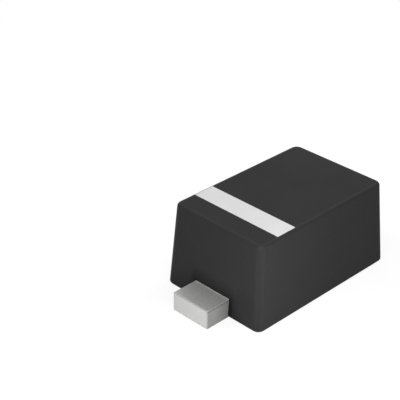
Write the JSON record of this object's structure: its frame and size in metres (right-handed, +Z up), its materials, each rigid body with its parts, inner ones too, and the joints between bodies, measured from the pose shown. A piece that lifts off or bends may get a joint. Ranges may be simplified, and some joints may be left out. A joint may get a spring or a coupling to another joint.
{
  "type": "surface mount schottky diode",
  "caption": "Black moulded surface mount Schottky diode with a white cathode band across the top and a short flat tinned lead at the foot of each end.",
  "frame": {"origin": "middle of the package, half way along, across and up, the point that a placement machine steers by", "axes": "+X along the package from the banded cathode end to the anode end, +Y across it, +Z up out of the marked top"},
  "size_m": [0.0016, 0.0008, 0.0006],
  "materials": {
    "moulding_resin": "matte, finely textured",
    "band_ink": "matte print",
    "tinned_strip": "satin tin plate",
    "attach_film": "silver filled epoxy",
    "silicon": "polished",
    "contact_metal": "satin",
    "gold_wire": "bright"
  },
  "bodies": {
    "root": {"mould_body": "moulding_resin", "cathode_band": "band_ink", "cathode_lead": "tinned_strip", "anode_lead": "tinned_strip", "die_attach": "attach_film", "schottky_die": "silicon", "barrier_metal": "contact_metal", "bond_wire": "gold_wire"}
  },
  "joints": []
}
